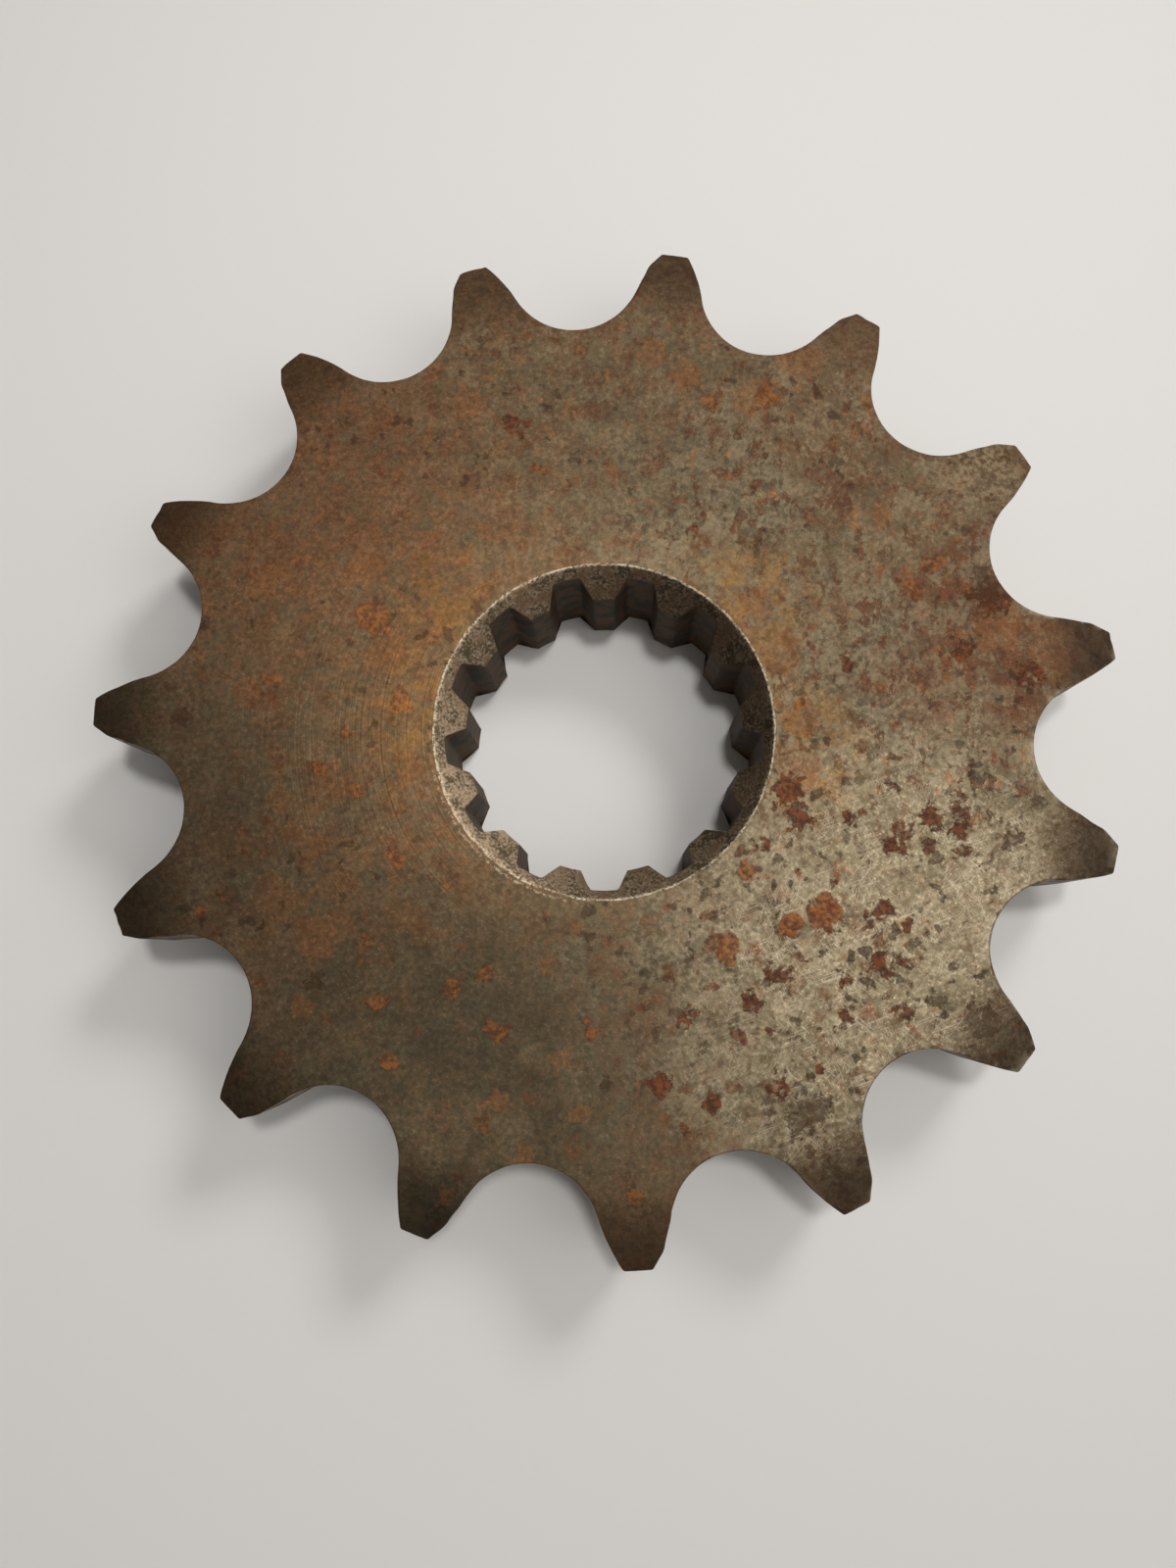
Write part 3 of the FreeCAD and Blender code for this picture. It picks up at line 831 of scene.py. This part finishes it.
# Painted shade at the lower left, where the lamps reach least
colour = shaded(near(at, -39, -12, 4, 30), colour, 0.55)
# Darker at the bottom edge
colour = shaded(near(at, -8, -42, 3, 14), colour, 0.8)
olive_side = olive_area.most(near(at, -39, -12, 14, 30))
brown_tips = fade(out, 34.0, 37.0) * fade(olive_side, 0.8, 0.2)
colour = tint(brown_tips * 0.5, colour, BROWN_FILM)
# The tips darkened by their painted shade, varied a little by the lumps
colour = shaded(tip_shade * (0.75 + 0.4 * lumps), colour, 0.34)
pale_patch = near(tatter, 30, 21, 1, 6) * fade(speckle + mottle * 0.5, 0.62, 0.90)
colour = tint(pale_patch * 0.75, colour, PALE_SPECK)

# %% [markdown]
# ## The grain over everything
#
# Every colour so far is flat inside its own patch. The grain goes over all of them, in
# three sizes, so that no part of the face is one plain colour from near or from far.

# %% The grain, from fine to coarse, and the bright lines over it
colour = shaded(fade(grit, 0.3, 0.7), colour, 1.25)
colour = shaded(fade(speckle, 0.62, 0.36), colour, 0.68)
colour = shaded(fade(mottle, 0.58, 0.38), colour, 0.84)
colour = shaded(ring_mark, colour, 1.7)
# Scratches, glints and worn edges in one light colour: bare steel with a painted glint
colour = tint(lines * 0.40 * (1 - rust), colour, GLINT_AND_BARE_EDGE)
colour = tint(glints * (1 - rust) * 0.6, colour, GLINT_AND_BARE_EDGE)
colour = tint(mouth_line.most(washer).most(rim_edge_glint), colour, GLINT_AND_BARE_EDGE)

# %% Feed the outer face's shader
metal = (0.28 + 0.37 * scuffed) * (1 - rust * 0.9) * (1 - tip_shade * 0.5)
rough = 0.60 - 0.10 * scuffed + rust * 0.25 + (speckle - 0.5) * 0.3
relief = (grit - 0.5) * 0.010 + (speckle - 0.5) * 0.020 + ring_mark * 0.002
relief = relief + rust * speckle * 0.05 - lines * 0.004
feed_shader(face, colour, rough, metal, relief)

# %% [markdown]
# ## The bore
#
# The broached bore has been full of grease, which has gone to a dark brown skin. The
# countersink at its mouth is a cut face like the outer one, but grainier. Broaching
# leaves fine lines along the bore, so the noise here is drawn out along the axis.

# %% Finish of the bore
bore_skin, at, out = new_finish("bore")
mottle = cloud(at, 1.4, 4.0, 0.6)
grit = cloud(shifted(at, 12), 0.22, 2.0, 0.6)
broach_lines = cloud(stretched(at, (6, 6, 0.25)), 1.0, 2.0)
depth = FACE - at.node("ShaderNodeSeparateXYZ", {}, {0: at}, 2)
mouth = fade(out + depth, mouth_radius + 0.25, mouth_radius + 0.08)
edge_line = fade(worn_edges(at), 0.6, 1.0) * fade(grit, 0.42, 0.62)

colour = tint(fade(mottle, 0.35, 0.62), BURNT_OIL, SKIN_BROWN)
colour = tint(fade(mottle + (grit - 0.5) * 0.5, 0.52, 0.7) * 0.25, colour, BROWN_FILM)
cut = tint(fade(grit + (mottle - 0.5), 0.3, 0.7), CUT_DARK, CUT_LIGHT)
# Painted light on the lower left of the countersink, which faces the window
cut_lit = near(at, -12, -7, 3, 15)
cut = tint(fade(mottle, 0.42, 0.64) * (0.75 - 0.5 * cut_lit), cut, BROWN_FILM)
# Painted shade on the right side of the countersink, which faces away from the window
cut = shaded(near(at, 11, 5, 5, 22), cut, 0.42)
cut = shaded(cut_lit, cut, 1.5)
colour = tint(mouth * 0.9, colour, cut)
colour = tint(edge_line, colour, GLINT_AND_BARE_EDGE)
metal = 0.10 + 0.45 * mouth
rough = 0.66 + (mottle - 0.5) * 0.3 - 0.12 * mouth
relief = (grit - 0.5) * 0.02 + (broach_lines - 0.5) * 0.02 * (1 - mouth)
feed_shader(bore_skin, colour, rough, metal, relief)

# %% [markdown]
# ## The cut rim
#
# The sides of the teeth were cut by a hob and then rubbed by chain rollers. The cutting
# lines run along the axis. The seats and flanks are dark brown, with a polished band in
# the middle of the thickness where the rollers press.

# %% Finish of the rim
rim_skin, at, out = new_finish("cut_rim")
mottle = cloud(at, 2.2, 4.0, 0.6)
grit = cloud(shifted(at, 12), 0.2, 2.0, 0.6)
hob_lines = cloud(stretched(at, (4, 4, 0.2)), 1.0, 2.0)
height = at.node("ShaderNodeSeparateXYZ", {}, {0: at}, 2)
middle = fade(height.maths("ABSOLUTE", height - (FACE + BOSS_HEIGHT) / 2), 3.6, 1.6)
rubbed = middle * fade(out, 38.5, 34.0) * fade(mottle, 0.3, 0.6)
edge_line = worn_edges(at) * fade(mottle, 0.4, 0.62)

colour = tint(fade(mottle, 0.35, 0.65), DARK_RUST, RIM_BROWN)
colour = tint(fade(grit + mottle, 1.05, 1.35) * 0.7, colour, ORANGE_RUST)
colour = tint(rubbed * 0.6, colour, RUBBED_STEEL)
colour = shaded(fade(hob_lines, 0.6, 0.35), colour, 0.7)
colour = tint(edge_line * 0.6, colour, GLINT_AND_BARE_EDGE)
metal = 0.35 + 0.4 * rubbed
rough = 0.55 - 0.18 * rubbed + (grit - 0.5) * 0.2
relief = (hob_lines - 0.5) * 0.03 + (grit - 0.5) * 0.02
feed_shader(rim_skin, colour, rough, metal, relief)

# %% [markdown]
# ## The table, the lights and the camera
#
# A white sheet of paper makes the brown metal easy to judge. Three soft lamps do the
# rest. One hangs almost overhead and gives the short shadows inside the bore. One comes
# in from beyond the top right, and throws the shapes of the teeth on to the table at the
# lower left. The widest stands in for a window on the right, and its broad reflection is
# what makes the bare metal glow.

# %% Table
TABLE_HALF = 1.5
table_mesh = bpy.data.meshes.new("table")
table_mesh.from_pydata(
    [(-TABLE_HALF, -TABLE_HALF, 0), (TABLE_HALF, -TABLE_HALF, 0),
     (TABLE_HALF, TABLE_HALF, 0), (-TABLE_HALF, TABLE_HALF, 0)], [], [(0, 1, 2, 3)])
table = bpy.data.objects.new("table", table_mesh)
bpy.context.scene.collection.objects.link(table)
paper = bpy.data.materials.new("white_paper")
paper.use_nodes = True
paper_shader = paper.node_tree.nodes["Principled BSDF"]
paper_shader.inputs["Base Color"].default_value = (0.74, 0.72, 0.69, 1)
paper_shader.inputs["Roughness"].default_value = 0.75
table_mesh.materials.append(paper)


# %% Lamps
def lamp(name, azimuth, elevation, distance, size, power, spread, aim):
    """A round soft lamp, seen from its aim point in a direction, with a beam of a spread."""
    data = bpy.data.lights.new(name, "AREA")
    data.shape = "DISK"
    data.size = size
    data.energy = power
    data.spread = math.radians(spread)
    holder = bpy.data.objects.new(name, data)
    across, up = math.radians(azimuth), math.radians(elevation)
    level = math.cos(up)
    way = Vector((math.cos(across) * level, math.sin(across) * level, math.sin(up)))
    holder.location = Vector(aim) * MM + way * distance
    holder.rotation_euler = way.to_track_quat("Z", "Y").to_euler()
    bpy.context.scene.collection.objects.link(holder)
    print(name, "at", [round(value, 3) for value in holder.location])


lamp("overhead", azimuth=42, elevation=83, distance=0.60, size=0.06,
     power=0.165, spread=70, aim=(0, 40, 0))
lamp("far_right", azimuth=45, elevation=47, distance=0.50, size=0.14,
     power=0.125, spread=70, aim=(-15, 30, 0))
lamp("window", azimuth=-15, elevation=64, distance=0.42, size=0.30,
     power=0.175, spread=120, aim=(20, 0, 0))

# %% [markdown]
# The rest of the room is a dim glow, brighter towards the window's side. It fills the
# shadows, and it is what the slopes of the countersink reflect.

# %% Room
DIM_SIDE = 0.04
WINDOW_SIDE = 0.42

world = bpy.data.worlds.new("room")
bpy.context.scene.world = world
world.use_nodes = True
glow = Wire(world.node_tree)
way = glow.node("ShaderNodeTexCoord", {}, {}, output="Generated")
side = glow.node("ShaderNodeSeparateXYZ", {}, {0: way}, 0)
across_the_room = {0: side, 1: -1.0, 2: 1.0, 3: DIM_SIDE, 4: WINDOW_SIDE}
strength = glow.node("ShaderNodeMapRange", {}, across_the_room)
sky = world.node_tree.nodes["Background"]
sky.inputs["Color"].default_value = (1.0, 0.97, 0.93, 1)
world.node_tree.links.new(strength.socket, sky.inputs["Strength"])
bpy.context.scene.view_settings.view_transform = "Standard"

# %% Camera, held almost straight above and a little low
CAMERA_PLACE = (0.00096, -0.01752, 0.10527)
CAMERA_TILT = (8.046, 1.332, 0)

camera_data = bpy.data.cameras.new("camera")
camera_data.lens = 28.05
camera_data.sensor_width = 36
camera_data.clip_start = 0.005
camera = bpy.data.objects.new("camera", camera_data)
camera.location = CAMERA_PLACE
camera.rotation_euler = [math.radians(angle) for angle in CAMERA_TILT]
bpy.context.scene.collection.objects.link(camera)
bpy.context.scene.camera = camera
